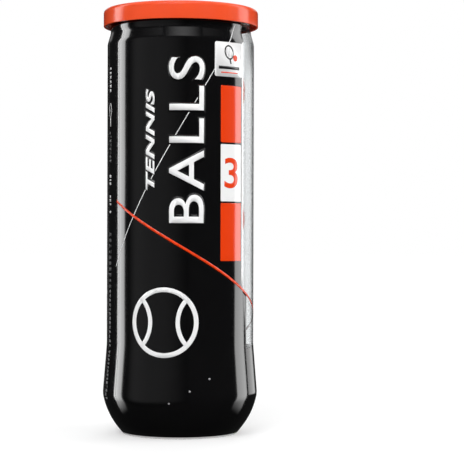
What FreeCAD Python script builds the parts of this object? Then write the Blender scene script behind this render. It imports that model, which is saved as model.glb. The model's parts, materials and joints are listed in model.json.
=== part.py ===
import FreeCAD, Part
import math
import os

import Sketcher
from FreeCAD import Vector

# A sealed can of three low-compression tennis balls: a clear blow-moulded body in a printed sleeve,
# a seamed metal end with a tear-out panel and a ring pull, a press-on overcap, and the balls inside.
# Millimetres, +Z up, the origin at the middle of the standing ring. The ring pull lies towards +X.

DIMENSIONS = [
    # name, value, what it is
    ("ball_radius", 32.5, "over the felt"),
    ("felt_thickness", 3.2, "cloth cover of a ball"),
    ("glue_gap", 0.05, "cement between core and felt, left empty"),
    ("core_wall", 3.5, "rubber wall of a ball's core"),
    ("seam_width", 2.4, "cement strip between the two felt panels"),
    ("seam_recess", 0.7, "how far the strip lies below the felt"),
    ("ball_gap", 0.3, "between one ball and the next, and under the lowest"),
    ("headspace", 1.8, "from the top ball to the tear panel"),
    ("ball_clearance", 3.9, "from a ball to the inside of the body"),
    ("body_wall", 0.6, "clear body's wall"),
    ("base_wall", 1.0, "clear body's base"),
    ("dome_rise", 8.5, "how far the base is pushed up at its middle"),
    ("dome_top_radius", 9.0, "flat middle of the pushed-up base"),
    ("dome_side_rise", 5.2, "height of the dome's lower corner"),
    ("dome_side_run", 4.5, "from the standing ring in to that corner"),
    ("foot_inset", 8.2, "standing ring's outer edge, in from the body"),
    ("foot_flat", 1.6, "width of the standing ring"),
    ("knuckle_inset", 0.6, "corner of the base's flank, in from the body"),
    ("knuckle_height", 9.7, "its height"),
    ("knuckle_round", 36.0, "its rounding"),
    ("crest_bulge", 2.0, "bumper roll, out from the body"),
    ("crest_height", 19.9, "its height"),
    ("crest_round", 12.0, "its rounding"),
    ("panel_start", 45.0, "height where the straight label panel begins"),
    ("panel_round", 60.0, "rounding there"),
    ("shoulder_drop", 16.4, "from the rim down to the shoulder's lower corner"),
    ("neck_drop", 10.7, "from the rim down to the shoulder's upper corner"),
    ("shoulder_round", 8.0, "rounding of both"),
    ("neck_wall", 0.7, "clear body's wall at the neck"),
    ("mouth_clearance", 0.75, "from a ball to the edge of the opened mouth"),
    ("end_metal", 0.25, "sheet of the metal end"),
    ("score_gap", 0.05, "width of the score line around the tear panel"),
    ("lip_width", 0.5, "from the score line to the groove"),
    ("groove_width", 0.4, "floor of the groove around the panel"),
    ("groove_depth", 1.2, "below the panel"),
    ("chuck_slope", 0.2, "how much wider the groove's outer wall is at the rim"),
    ("rim_depth", 5.65, "from the rim down to the panel"),
    ("seam_height", 3.0, "double seam"),
    ("seam_gap", 0.06, "between the folded layers of the seam"),
    ("compound_width", 0.35, "lining compound between the two hooks"),
    ("hook_thickness", 0.6, "clear body's hook in the seam"),
    ("hook_length", 1.7, "its length"),
    ("sleeve_gap", 0.08, "between the clear body and its sleeve"),
    ("sleeve_thickness", 0.15, "printed sleeve"),
    ("sleeve_foot", 0.9, "height of the sleeve's lower edge"),
    ("sleeve_drop", 1.2, "from the seam down to the sleeve's upper edge"),
    ("cap_clearance", 0.1, "from the seam to the overcap's bead"),
    ("cap_gap", 0.05, "from the rim to the overcap resting on it"),
    ("bead_depth", 0.9, "overcap's inner bead, in from its skirt"),
    ("bead_width", 2.2, "height of the bead"),
    ("bead_drop", 0.4, "from the seam down to the bead"),
    ("cap_wall", 1.15, "overcap's skirt"),
    ("cap_plate", 1.1, "overcap's top plate"),
    ("cap_rim", 1.35, "overcap's raised rim, above the can's rim"),
    ("cap_skirt", 8.9, "overcap's height outside"),
    ("cap_recess", 1.2, "how far the plate lies below the rim"),
    ("cap_plug_gap", 0.45, "from the recessed plate to the metal end"),
    ("cap_round", 1.0, "outer edge of the overcap"),
    ("bead_ring_radius", 18.5, "stiffening ring pressed into the tear panel"),
    ("bead_ring_width", 2.4, "its width"),
    ("bead_ring_depth", 0.5, "its depth"),
    ("ring_radius", 11.0, "ring pull, outside"),
    ("ring_width", 3.0, "from its outside to the finger hole"),
    ("ring_reach", 22.0, "from the score line to the middle of the finger hole"),
    ("nose_radius", 6.0, "ring pull's nose"),
    ("nose_inset", 1.2, "from the score line to the nose"),
    ("tab_thickness", 0.95, "curled edge of the ring pull"),
    ("tab_lift", 0.15, "ring pull above the panel"),
    ("tab_round", 0.4, "rounding of its edges"),
    ("tongue_length", 7.0, "rivet tongue, along the ring pull"),
    ("tongue_width", 6.0, "across it"),
    ("tongue_slit", 0.4, "cut between the tongue and the ring pull"),
    ("tongue_thickness", 0.3, "sheet of the tongue"),
    ("tongue_lift", 0.05, "tongue above the panel"),
    ("rivet_inset", 7.0, "from the score line to the rivet"),
    ("rivet_radius", 1.9, "rivet's stem"),
    ("rivet_head_radius", 2.8, "rivet's head"),
    ("rivet_head", 0.35, "its thickness"),
    ("rivet_gap", 0.05, "between rivet and tongue"),
]
BALLS = ("bottom", "middle", "top")
# How each ball happens to lie in the can: degrees about Z, then Y, then X.
BALL_TURNS = {"bottom": (20, 35, 70), "middle": (-28, 48, 180), "top": (-35, 50, 25)}
CORE_TURN = 55  # degrees from the felt's own axis to the joint of the core's two halves

doc = FreeCAD.newDocument("TennisBallCan")
sheet = doc.addObject("Spreadsheet::Sheet", "Sizes")
for row, (name, value, note) in enumerate(DIMENSIONS, start=1):
    sheet.set(f"A{row}", name)
    sheet.set(f"B{row}", str(value))
    sheet.set(f"C{row}", note)
    sheet.setAlias(f"B{row}", name)
doc.recompute()


class Size:
    """A length as a number and as the expression that works it out from the sheet."""

    def __init__(self, value, text):
        self.value = value
        self.text = text

    @staticmethod
    def of(other):
        return other if isinstance(other, Size) else Size(other, repr(other))

    def _join(self, sign, other, value):
        return Size(value, f"({self.text} {sign} {other.text})")

    def __add__(self, other):
        other = Size.of(other)
        return self._join("+", other, self.value + other.value)

    def __sub__(self, other):
        other = Size.of(other)
        return self._join("-", other, self.value - other.value)

    def __mul__(self, other):
        other = Size.of(other)
        return self._join("*", other, self.value * other.value)

    def __truediv__(self, other):
        other = Size.of(other)
        return self._join("/", other, self.value / other.value)


def size(name):
    return Size(float(sheet.get(name)), "Sizes." + name)


ZERO = Size(0.0, "0")

# Radii, from the balls outwards.
ball_radius = size("ball_radius")
body_in = ball_radius + size("ball_clearance")
body_out = body_in + size("body_wall")
mouth_radius = ball_radius + size("mouth_clearance")
groove_in = mouth_radius + size("lip_width")
chuck_foot = groove_in + size("groove_width")
chuck_radius = chuck_foot + size("chuck_slope")
end_metal = size("end_metal")
seam_gap = size("seam_gap")
neck_in = chuck_radius + end_metal + seam_gap
neck_out = neck_in + size("neck_wall")
end_hook_in = neck_out + seam_gap
compound_in = end_hook_in + end_metal + seam_gap
compound_out = compound_in + size("compound_width")
body_hook_in = compound_out + seam_gap
body_hook_out = body_hook_in + size("hook_thickness")
seam_radius = body_hook_out + seam_gap + end_metal
cap_bead_radius = seam_radius + size("cap_clearance")
cap_in = cap_bead_radius + size("bead_depth")
cap_out = cap_in + size("cap_wall")
foot_out = body_out - size("foot_inset")
foot_in = foot_out - size("foot_flat")
knuckle_radius = body_out - size("knuckle_inset")
crest_radius = body_out + size("crest_bulge")

# Heights, from the standing ring upwards.
dome_top = size("dome_rise") + size("base_wall")
ball_pitch = ball_radius * 2 + size("ball_gap")
first_centre = dome_top + size("ball_gap") + ball_radius
panel_under = first_centre + ball_pitch * (len(BALLS) - 1) + ball_radius + size("headspace")
panel_top = panel_under + end_metal
rim_top = panel_top + size("rim_depth")
seam_bottom = rim_top - size("seam_height")
flange_top = rim_top - end_metal - seam_gap
flange_under = flange_top - size("hook_thickness")
neck_height = rim_top - size("neck_drop")
shoulder_height = rim_top - size("shoulder_drop")
cap_seat = rim_top + size("cap_gap")
cap_top = cap_seat + size("cap_rim")

SHAPES = {}  # node name -> the object that holds its shape


def new_body(name):
    body = doc.addObject("PartDesign::Body", name)
    body.Label = name
    SHAPES[name] = body
    return body


def plane_of(body, role):
    return next(f for f in body.Origin.OriginFeatures if f.Role == role)


def new_sketch(body, name, role, height=None):
    """A sketch on one of the body's own planes, raised by height."""
    sketch = body.newObject("Sketcher::SketchObject", name)
    sketch.AttachmentSupport = [(plane_of(body, role), "")]
    sketch.MapMode = "FlatFace"
    if height is not None:
        sketch.setExpression("AttachmentOffset.Base.z", height.text)
    return sketch


def bind(sketch, kind, places, length):
    """A constraint of that kind whose value follows the sheet."""
    index = sketch.addConstraint(Sketcher.Constraint(kind, *places, length.value))
    sketch.setExpression(f"Constraints[{index}]", length.text)


def place_point(sketch, geometry, end, across, up):
    """Fixes one end of a sketch element by its two distances from the origin."""
    if across is ZERO:
        sketch.addConstraint(Sketcher.Constraint("PointOnObject", geometry, end, -2))
    else:
        bind(sketch, "DistanceX", (-1, 1, geometry, end), across)
    if up is ZERO:
        sketch.addConstraint(Sketcher.Constraint("PointOnObject", geometry, end, -1))
    else:
        bind(sketch, "DistanceY", (-1, 1, geometry, end), up)


def draw_outline(sketch, corners):
    """A closed outline of straight runs between corners (across, up, rounding or None). A rounded
    corner keeps its two distances on a construction point where its runs would meet."""
    points = [Vector(c[0].value, c[1].value, 0) for c in corners]
    count = len(corners)
    starts, ends, rounds = [], [], {}
    for i, corner in enumerate(corners):
        point = points[i]
        if corner[2] is None:
            starts.append(point)
            ends.append(point)
            continue
        before = (points[i - 1] - point).normalize()
        after = (points[(i + 1) % count] - point).normalize()
        half_turn = before.getAngle(after) / 2
        radius = corner[2].value
        reach = radius / math.tan(half_turn)
        ends.append(point + before * reach)
        starts.append(point + after * reach)
        centre = point + (before + after).normalize() * (radius / math.sin(half_turn))
        turns_left = after.cross(before).z > 0
        rim = [ends[i], starts[i]] if turns_left else [starts[i], ends[i]]
        angles = [math.atan2(p.y - centre.y, p.x - centre.x) for p in rim]
        if angles[1] < angles[0]:
            angles[1] += 2 * math.pi
        circle = Part.Circle(centre, Vector(0, 0, 1), radius)
        rounds[i] = (Part.ArcOfCircle(circle, *angles), 1 if turns_left else 2)
    runs = []
    for i in range(count):
        j = (i + 1) % count
        runs.append(sketch.addGeometry(Part.LineSegment(starts[i], ends[j]), False))
    for i, corner in enumerate(corners):
        before, after = runs[i - 1], runs[i]
        if i not in rounds:
            sketch.addConstraint(Sketcher.Constraint("Coincident", before, 2, after, 1))
            place_point(sketch, after, 1, corner[0], corner[1])
            continue
        arc = sketch.addGeometry(rounds[i][0], False)
        first = rounds[i][1]
        tip = sketch.addGeometry(Part.Point(points[i]), True)
        sketch.addConstraint(Sketcher.Constraint("Tangent", before, 2, arc, first))
        sketch.addConstraint(Sketcher.Constraint("Tangent", arc, 3 - first, after, 1))
        sketch.addConstraint(Sketcher.Constraint("PointOnObject", tip, 1, before))
        sketch.addConstraint(Sketcher.Constraint("PointOnObject", tip, 1, after))
        bind(sketch, "Radius", (arc,), corner[2])
        place_point(sketch, tip, 1, corner[0], corner[1])


def turned_body(name, corners):
    """A body turned about the can's axis from an outline of (radius, height, rounding)."""
    body = new_body(name)
    sketch = new_sketch(body, name + "_outline", "XZ_Plane")
    draw_outline(sketch, corners)
    turning = body.newObject("PartDesign::Revolution", name + "_turned")
    turning.Profile = sketch
    turning.ReferenceAxis = (sketch, ["V_Axis"])
    turning.Angle = 360
    doc.recompute()
    return body
# Clear body: standing ring, base flank, bumper roll, label panel, shoulder, neck, and the hook that
# is folded into the double seam; inside, the same a wall's thickness away, and the pushed-up dome.
body_wall, base_wall = size("body_wall"), size("base_wall")
dome_side_radius = foot_in - size("dome_side_run")
dome_round = size("dome_side_rise")
inner_foot_in = foot_in + base_wall * 0.45
inner_foot_out = foot_out - base_wall * 0.45
hook_bottom = flange_top - size("hook_length")
outside = [
    (foot_out, ZERO, None),
    (knuckle_radius, size("knuckle_height"), size("knuckle_round")),
    (crest_radius, size("crest_height"), size("crest_round")),
    (body_out, size("panel_start"), size("panel_round")),
    (body_out, shoulder_height, size("shoulder_round")),
    (neck_out, neck_height, size("shoulder_round")),
]
hook = [
    (neck_out, flange_under, None),
    (body_hook_in, flange_under, None),
    (body_hook_in, hook_bottom, None),
    (body_hook_out, hook_bottom, None),
    (body_hook_out, flange_top, None),
    (neck_in, flange_top, None),
]
inside = [
    (neck_in, neck_height, size("shoulder_round")),
    (body_in, shoulder_height, size("shoulder_round")),
    (body_in, size("panel_start"), size("panel_round")),
    (crest_radius - body_wall, size("crest_height"), size("crest_round")),
    (knuckle_radius - base_wall, size("knuckle_height"), size("knuckle_round")),
    (inner_foot_out, base_wall, None),
    (inner_foot_in, base_wall, None),
    (dome_side_radius + base_wall * 0.6, size("dome_side_rise") + base_wall, dome_round),
    (size("dome_top_radius"), dome_top, dome_round),
    (ZERO, dome_top, None),
]
underside = [
    (ZERO, size("dome_rise"), None),
    (size("dome_top_radius"), size("dome_rise"), dome_round),
    (dome_side_radius, size("dome_side_rise"), dome_round),
    (foot_in, ZERO, None),
]
turned_body("pet_can", outside + hook + inside + underside)

# Printed sleeve, shrunk on from just above the standing ring to just under the seam.
flank_run = (knuckle_radius - foot_out) * (size("sleeve_foot") / size("knuckle_height"))
sleeve_top = seam_bottom - size("sleeve_drop")
sleeve_path = [(foot_out + flank_run, size("sleeve_foot"), None)] + outside[1:]
sleeve_path.append((neck_out, sleeve_top, None))
sleeve_in = size("sleeve_gap")
sleeve_out = sleeve_in + size("sleeve_thickness")
turned_body(
    "label_sleeve",
    [(r + sleeve_out, z, k) for r, z, k in sleeve_path]
    + [(r + sleeve_in, z, k) for r, z, k in reversed(sleeve_path)],
)

# Metal end that stays on the can: lip, groove, chuck wall, and the double seam with its hook.
groove_floor = panel_top - size("groove_depth")
end_hook_top = flange_under - seam_gap
turned_body(
    "end_ring",
    [
        (mouth_radius, panel_under, None),
        (groove_in - end_metal, panel_under, None),
        (groove_in - end_metal, groove_floor - end_metal, None),
        (chuck_foot + end_metal, groove_floor - end_metal, None),
        (chuck_radius + end_metal, rim_top - end_metal, None),
        (seam_radius - end_metal, rim_top - end_metal, None),
        (seam_radius - end_metal, seam_bottom + end_metal, None),
        (end_hook_in + end_metal, seam_bottom + end_metal, None),
        (end_hook_in + end_metal, end_hook_top, None),
        (end_hook_in, end_hook_top, None),
        (end_hook_in, seam_bottom, end_metal),
        (seam_radius, seam_bottom, end_metal * 2),
        (seam_radius, rim_top, end_metal * 2),
        (chuck_radius, rim_top, end_metal),
        (chuck_foot, groove_floor, None),
        (groove_in, groove_floor, None),
        (groove_in, panel_top, None),
        (mouth_radius, panel_top, None),
    ],
)

# Lining compound squeezed between the two hooks.
turned_body(
    "sealing_compound",
    [
        (compound_in, hook_bottom, None),
        (compound_out, hook_bottom, None),
        (compound_out, end_hook_top, None),
        (compound_in, end_hook_top, None),
    ],
)

# Tear panel with its pressed stiffening ring, and the rivet raised from it.
bead_half = size("bead_ring_width") / 2
bead_outer = size("bead_ring_radius") + bead_half
bead_inner = size("bead_ring_radius") - bead_half
bead_ring_depth = size("bead_ring_depth")
panel_radius = mouth_radius - size("score_gap")
upper_face = [
    (panel_radius, panel_top, None),
    (bead_outer, panel_top, None),
    (bead_outer - bead_ring_depth, panel_top - bead_ring_depth, None),
    (bead_inner + bead_ring_depth, panel_top - bead_ring_depth, None),
    (bead_inner, panel_top, None),
    (ZERO, panel_top, None),
]
lower_face = [(r, z - end_metal, None) for r, z, _ in reversed(upper_face)]
panel = turned_body("tear_panel", lower_face + upper_face)
rivet_place = mouth_radius - size("rivet_inset")
tongue_under = panel_top + size("tongue_lift")
tongue_top = tongue_under + size("tongue_thickness")
head_under = tongue_top + size("rivet_gap")


def pad_disc(body, name, place, radius, bottom, top):
    sketch = new_sketch(body, name + "_outline", "XY_Plane", bottom)
    disc = sketch.addGeometry(
        Part.Circle(Vector(place.value, 0, 0), Vector(0, 0, 1), radius.value), False
    )
    bind(sketch, "Radius", (disc,), radius)
    place_point(sketch, disc, 3, place, ZERO)
    pad = body.newObject("PartDesign::Pad", name)
    pad.Profile = sketch
    pad.setExpression("Length", (top - bottom).text)
    return pad


pad_disc(panel, "rivet_stem", rivet_place, size("rivet_radius"), panel_top - end_metal / 2, head_under)
pad_disc(
    panel, "rivet_head", rivet_place, size("rivet_head_radius"), head_under,
    head_under + size("rivet_head"),
)

# Ring pull: the hull of a ring and a nose, with a finger hole and a window for the rivet's tongue.
ring_place = mouth_radius - size("ring_reach")
nose_place = mouth_radius - size("nose_inset") - size("nose_radius")
tab_under = panel_top + size("tab_lift")
tab = new_body("pull_tab")
hull = new_sketch(tab, "tab_outline", "XY_Plane", tab_under)
ring_r, nose_r = size("ring_radius").value, size("nose_radius").value
lean = math.asin((ring_r - nose_r) / (nose_place.value - ring_place.value))
rounds = []
for place, radius in ((ring_place, size("ring_radius")), (nose_place, size("nose_radius"))):
    circle = Part.Circle(Vector(place.value, 0, 0), Vector(0, 0, 1), radius.value)
    side = math.pi / 2 - lean
    reach = (side, 2 * math.pi - side) if not rounds else (-side, side)
    arc = hull.addGeometry(Part.ArcOfCircle(circle, *reach), False)
    bind(hull, "Radius", (arc,), radius)
    place_point(hull, arc, 3, place, ZERO)
    rounds.append(arc)
ring_arc, nose_arc = rounds
for ring_end, nose_end in ((1, 2), (2, 1)):
    held = hull.Geometry
    start = held[ring_arc].StartPoint if ring_end == 1 else held[ring_arc].EndPoint
    end = held[nose_arc].EndPoint if nose_end == 2 else held[nose_arc].StartPoint
    side_line = hull.addGeometry(Part.LineSegment(start, end), False)
    hull.addConstraint(Sketcher.Constraint("Tangent", ring_arc, ring_end, side_line, 1))
    hull.addConstraint(Sketcher.Constraint("Tangent", side_line, 2, nose_arc, nose_end))
tab_pad = tab.newObject("PartDesign::Pad", "tab_plate")
tab_pad.Profile = hull
tab_pad.setExpression("Length", size("tab_thickness").text)
doc.recompute()


def rectangle(across, along, place):
    """Corners of a rectangle centred on the X axis at place."""
    near, far = place - along / 2, place + along / 2
    half = across / 2
    low = ZERO - half
    return [(near, low, None), (far, low, None), (far, half, None), (near, half, None)]


def pocket_through(body, name, height, draw):
    sketch = new_sketch(body, name + "_outline", "XY_Plane", height)
    draw(sketch)
    pocket = body.newObject("PartDesign::Pocket", name)
    pocket.Profile = sketch
    pocket.Type = "ThroughAll"
    pocket.Midplane = True
    doc.recompute()
    return pocket


def draw_finger_hole(sketch):
    radius = size("ring_radius") - size("ring_width")
    centre = Vector(ring_place.value, 0, 0)
    hole = sketch.addGeometry(Part.Circle(centre, Vector(0, 0, 1), radius.value), False)
    bind(sketch, "Radius", (hole,), radius)
    place_point(sketch, hole, 3, ring_place, ZERO)


slit = size("tongue_slit") * 2
window = rectangle(size("tongue_width") + slit, size("tongue_length") + slit, rivet_place)
ring = pocket_through(tab, "finger_hole", tab_under, draw_finger_hole)
flat_edges = [
    f"Edge{n}"
    for n, edge in enumerate(ring.Shape.Edges, start=1)
    if edge.BoundBox.ZLength < end_metal.value / 2
]
curl = tab.newObject("PartDesign::Fillet", "tab_curl")
curl.Base = (ring, flat_edges)
curl.setExpression("Radius", size("tab_round").text)
doc.recompute()
pocket_through(tab, "tongue_window", tab_under, lambda sketch: draw_outline(sketch, window))

# Tongue of the ring pull, held under the rivet's head.
tongue = new_body("rivet_tongue")
plate = new_sketch(tongue, "tongue_outline", "XY_Plane", tongue_under)
draw_outline(plate, rectangle(size("tongue_width"), size("tongue_length"), rivet_place))
tongue_pad = tongue.newObject("PartDesign::Pad", "tongue_plate")
tongue_pad.Profile = plate
tongue_pad.setExpression("Length", size("tongue_thickness").text)


def draw_rivet_hole(sketch):
    radius = size("rivet_radius") + size("rivet_gap")
    centre = Vector(rivet_place.value, 0, 0)
    hole = sketch.addGeometry(Part.Circle(centre, Vector(0, 0, 1), radius.value), False)
    bind(sketch, "Radius", (hole,), radius)
    place_point(sketch, hole, 3, rivet_place, ZERO)


pocket_through(tongue, "rivet_hole", tongue_under, draw_rivet_hole)

# Overcap: skirt with a bead that grips under the seam, a raised rim, and a plate that dips into the end.
plug_radius = chuck_radius - size("cap_plug_gap")
recess_radius = plug_radius - size("cap_plate")
plate_top = cap_top - size("cap_recess")
plate_under = plate_top - size("cap_plate")
bead_top = seam_bottom - size("bead_drop")
bead_bottom = bead_top - size("bead_width")
bead_slope = size("bead_width") / 4
turned_body(
    "overcap",
    [
        (ZERO, plate_under, None),
        (plug_radius - size("cap_plate"), plate_under, None),
        (plug_radius, cap_seat - size("cap_plug_gap"), None),
        (plug_radius, cap_seat, None),
        (cap_in, cap_seat, None),
        (cap_in, bead_top, None),
        (cap_bead_radius, bead_top - bead_slope, None),
        (cap_bead_radius, bead_bottom + bead_slope, None),
        (cap_in, bead_bottom, None),
        (cap_in, cap_top - size("cap_skirt"), None),
        (cap_out, cap_top - size("cap_skirt"), None),
        (cap_out, cap_top, size("cap_round")),
        (recess_radius, cap_top, size("cap_recess") / 4),
        (recess_radius - size("cap_recess") / 2, plate_top, None),
        (ZERO, plate_top, None),
    ],
)

# Balls. The seam line is four half circles on the ball, tangent where they meet on its equator:
# the lower halves of two about the lobe axis, the upper halves of two about the axis across it.
# Each panel of felt is a dog-bone that covers one pole, and the two are alike.
felt_in = ball_radius - size("felt_thickness")
core_out = felt_in - size("glue_gap")
core_in = core_out - size("core_wall")
lobe_axes = (Vector(1, 0, 0), Vector(-1, 0, 0))
waist_axes = (Vector(0, 1, 0), Vector(0, -1, 0))
half_seam = math.degrees(size("seam_width").value / 2 / ball_radius.value)


def cones(axes, half_angle):
    """Cones from the ball's centre to outside it, fused."""
    reach = ball_radius.value * 1.1
    mouth = reach * math.tan(math.radians(half_angle))
    solids = [Part.makeCone(0, mouth, reach, Vector(0, 0, 0), axis) for axis in axes]
    return solids[0].fuse(solids[1:])


def half_shell(outer, inner, sign):
    """Half of a hollow sphere: above the equator for sign 1, below it for -1."""
    shell = Part.makeSphere(outer).cut(Part.makeSphere(inner))
    edge = outer * 1.2
    low = Vector(-edge, -edge, 0 if sign > 0 else -edge)
    return shell.common(Part.makeBox(2 * edge, 2 * edge, edge, low))


def one_solid(shape, what):
    merged = shape.removeSplitter()
    if len(merged.Solids) != 1 or not merged.isValid():
        raise RuntimeError(f"{what} isn't one sound solid")
    return merged.Solids[0]


halves = {sign: half_shell(ball_radius.value, felt_in.value, sign) for sign in (1, -1)}
upper_felt = halves[1].cut(cones(waist_axes, 45 + half_seam))
lobes = halves[-1].common(cones(lobe_axes, 45 - half_seam))
felt_panel = one_solid(upper_felt.fuse(lobes), "felt panel")
strip_top = ball_radius.value - size("seam_recess").value
strips = []
for sign, axes in ((1, waist_axes), (-1, lobe_axes)):
    band = half_shell(strip_top, felt_in.value, sign).common(cones(axes, 45 + half_seam))
    strips.append(band.cut(cones(axes, 45 - half_seam)))
seam_strip = one_solid(strips[0].fuse(strips[1]), "seam strip")
# The second panel is the first turned over, and a quarter turn round.
turn_over = FreeCAD.Rotation(Vector(1, 1, 0), 180)

for order, ball in enumerate(BALLS):
    yaw, pitch, roll = BALL_TURNS[ball]
    turn = FreeCAD.Rotation(yaw, pitch, roll)
    centre = first_centre + ball_pitch * order
    for half, sign in (("lower", -1), ("upper", 1)):
        core = new_body(f"ball_{ball}_core_{half}")
        section = new_sketch(core, core.Name + "_outline", "XZ_Plane")
        arcs = []
        for radius in (core_in, core_out):
            circle = Part.Circle(Vector(0, 0, 0), Vector(0, 0, 1), radius.value)
            quarter = (0, math.pi / 2) if sign > 0 else (-math.pi / 2, 0)
            arc = section.addGeometry(Part.ArcOfCircle(circle, *quarter), False)
            bind(section, "Radius", (arc,), radius)
            section.addConstraint(Sketcher.Constraint("Coincident", arc, 3, -1, 1))
            for end, on_axis in ((1, -1), (2, -2)) if sign > 0 else ((1, -2), (2, -1)):
                section.addConstraint(Sketcher.Constraint("PointOnObject", arc, end, on_axis))
            arcs.append(arc)
        for end in (1, 2):
            geometry = section.Geometry
            places = [
                geometry[arc].StartPoint if end == 1 else geometry[arc].EndPoint for arc in arcs
            ]
            line = section.addGeometry(Part.LineSegment(*places), False)
            for line_end, arc in enumerate(arcs, start=1):
                section.addConstraint(Sketcher.Constraint("Coincident", line, line_end, arc, end))
        moulded = core.newObject("PartDesign::Revolution", core.Name + "_moulded")
        moulded.Profile = section
        moulded.ReferenceAxis = (section, ["V_Axis"])
        moulded.Angle = 360
        joint = FreeCAD.Rotation(Vector(1, 0, 0), CORE_TURN)
        core.Placement = FreeCAD.Placement(Vector(0, 0, centre.value), turn * joint)
        core.setExpression("Placement.Base.z", centre.text)
    for colour, over in (("yellow", FreeCAD.Rotation()), ("orange", turn_over)):
        felt = doc.addObject("Part::Feature", f"ball_{ball}_felt_{colour}")
        felt.Shape = felt_panel.copy()
        felt.Placement = FreeCAD.Placement(Vector(0, 0, centre.value), turn * over)
        felt.setExpression("Placement.Base.z", centre.text)
        SHAPES[felt.Name] = felt
    seam = doc.addObject("Part::Feature", f"ball_{ball}_seam")
    seam.Shape = seam_strip.copy()
    seam.Placement = FreeCAD.Placement(Vector(0, 0, centre.value), turn)
    seam.setExpression("Placement.Base.z", centre.text)
    SHAPES[seam.Name] = seam

doc.recompute()
for item in doc.Objects:
    if "Invalid" in item.State or "Error" in item.State:
        raise RuntimeError(f"{item.Name} could not be worked out")
os.makedirs("parts", exist_ok=True)
for node, item in SHAPES.items():
    item.Label = node
    if item.Shape.isNull() or not item.Shape.isValid() or len(item.Shape.Solids) != 1:
        raise RuntimeError(f"{node} isn't one sound solid")
    item.Shape.exportStep(f"parts/{node}.step")
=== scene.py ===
import json
import math

import bmesh
import bpy
import numpy as np
from mathutils import Matrix, Vector

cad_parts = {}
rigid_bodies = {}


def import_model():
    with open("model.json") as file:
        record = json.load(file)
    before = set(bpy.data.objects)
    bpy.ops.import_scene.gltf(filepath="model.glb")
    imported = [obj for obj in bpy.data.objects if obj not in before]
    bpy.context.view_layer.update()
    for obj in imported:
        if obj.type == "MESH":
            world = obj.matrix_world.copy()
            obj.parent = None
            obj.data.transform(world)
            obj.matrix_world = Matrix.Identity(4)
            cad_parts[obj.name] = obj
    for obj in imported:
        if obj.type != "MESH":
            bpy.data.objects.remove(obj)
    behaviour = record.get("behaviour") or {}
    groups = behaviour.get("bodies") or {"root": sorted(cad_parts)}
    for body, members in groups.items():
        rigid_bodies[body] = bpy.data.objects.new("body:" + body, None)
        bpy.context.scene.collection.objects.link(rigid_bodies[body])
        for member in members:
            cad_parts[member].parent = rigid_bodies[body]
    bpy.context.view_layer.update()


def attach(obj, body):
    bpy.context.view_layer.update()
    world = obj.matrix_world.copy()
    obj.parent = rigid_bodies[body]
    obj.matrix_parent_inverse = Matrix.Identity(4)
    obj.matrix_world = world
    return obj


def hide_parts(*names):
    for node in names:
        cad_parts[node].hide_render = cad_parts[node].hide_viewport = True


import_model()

MM = 0.001
scene = bpy.context.scene

# ---------------------------------------------------------------- sizes, in millimetres
BODY_RADIUS = 37.0
SLEEVE_RADIUS = 37.23
FOOT_IN, FOOT_OUT = 27.2, 28.8
KNUCKLE = (36.4, 9.7, 36.0)
CREST = (39.0, 19.9, 12.0)
PANEL_START = (37.0, 45.0, 60.0)
SHOULDER = (37.0, 196.7, 8.0)
NECK_RADIUS, NECK_HEIGHT = 35.36, 202.4
NECK = (NECK_RADIUS, NECK_HEIGHT, 8.0)
SIDE_OUTLINE = [KNUCKLE, CREST, PANEL_START, SHOULDER, NECK]
SLEEVE_FOOT, SLEEVE_TOP = 0.9, 208.9
PANEL_TOP = 207.45
SHEET = 0.25
CAP_TOP, CAP_FOOT, CAP_RADIUS = 214.5, 205.6, 39.2
BALL_RADIUS = 32.5
SEAM_HALF, SEAM_RECESS = 1.2, 0.7
BALL_CENTRES = {"bottom": 42.3, "middle": 107.6, "top": 172.9}
BALL_TURNS = {"bottom": (20, 35, 70), "middle": (-28, 48, 180), "top": (-35, 50, 25)}
RING_PLACE, RING_RADIUS, RING_WIDTH = 11.25, 11.0, 3.0
NOSE_PLACE, NOSE_RADIUS = 26.05, 6.0
RIVET_PLACE = 26.25
TAB_UNDER, TAB_THICKNESS = 207.6, 0.95


# ---------------------------------------------------------------- trees of nodes
class Wire:
    """A value in a tree of nodes, with arithmetic."""

    def __init__(self, shop, socket):
        self.shop, self.socket = shop, socket

    def _sum(self, operation, *values):
        return self.shop.maths(operation, *values)

    def __add__(self, other):
        return self._sum("ADD", self, other)

    def __sub__(self, other):
        return self._sum("SUBTRACT", self, other)

    def __mul__(self, other):
        return self._sum("MULTIPLY", self, other)

    def __truediv__(self, other):
        return self._sum("DIVIDE", self, other)

    def __rsub__(self, other):
        return self._sum("SUBTRACT", other, self)

    __radd__, __rmul__ = __add__, __mul__

    def __rtruediv__(self, other):
        return self._sum("DIVIDE", other, self)


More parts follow.
